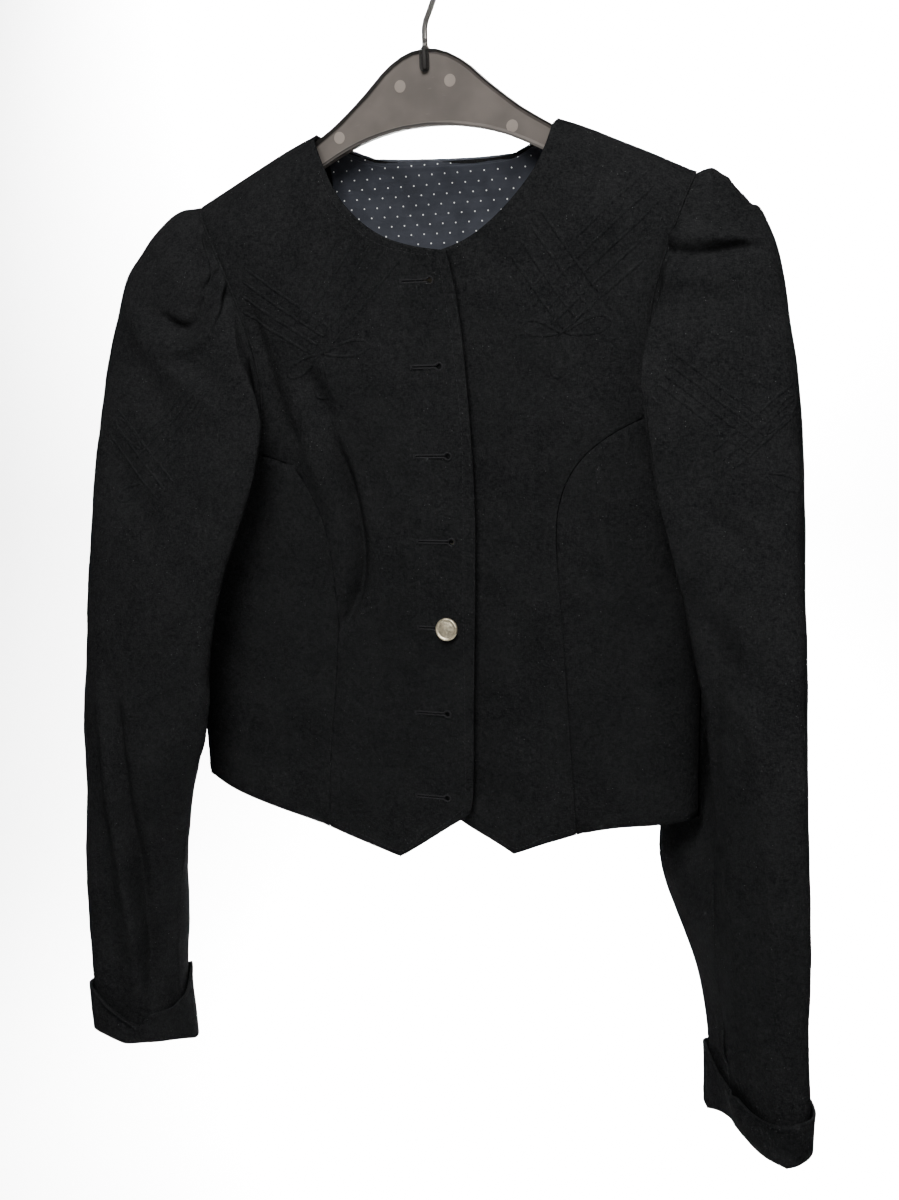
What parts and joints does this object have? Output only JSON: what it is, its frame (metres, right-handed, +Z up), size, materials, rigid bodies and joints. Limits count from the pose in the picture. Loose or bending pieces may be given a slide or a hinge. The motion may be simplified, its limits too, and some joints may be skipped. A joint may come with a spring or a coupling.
{
  "type": "tyrolean loden jacket on a hanger",
  "caption": "Short buttoned Tyrolean jacket of boiled wool with princess seams, gathered two-piece sleeves and turned-back cuffs, on a flat plastic hanger with a wire hook.",
  "frame": {"origin": "the inside of the top of the hook, where the rod that carries the hanger touches it", "axes": "+X towards the wearer's left, which is to the right of someone who looks at the front; +Y towards the back; +Z up"},
  "size_m": [0.5384, 0.1386, 0.7772],
  "materials": {
    "loden": "felted boiled wool",
    "lining": "plain weave with small white dots",
    "pewter": "soft-sheen pewter",
    "hanger_plastic": "satin",
    "hook_steel": "bright"
  },
  "bodies": {
    "root": {"front_right": "loden", "front_left": "loden", "side_front_right": "loden", "side_front_left": "loden", "back": "loden", "back_lining": "lining", "upper_sleeve_right": "loden", "upper_sleeve_left": "loden", "under_sleeve_right": "loden", "under_sleeve_left": "loden", "cuff_right": "loden", "cuff_left": "loden", "button_1": "pewter", "button_2": "pewter", "button_3": "pewter", "button_4": "pewter", "button_5": "pewter", "button_6": "pewter", "button_7": "pewter", "hanger": "hanger_plastic", "hook": "hook_steel"}
  },
  "joints": []
}
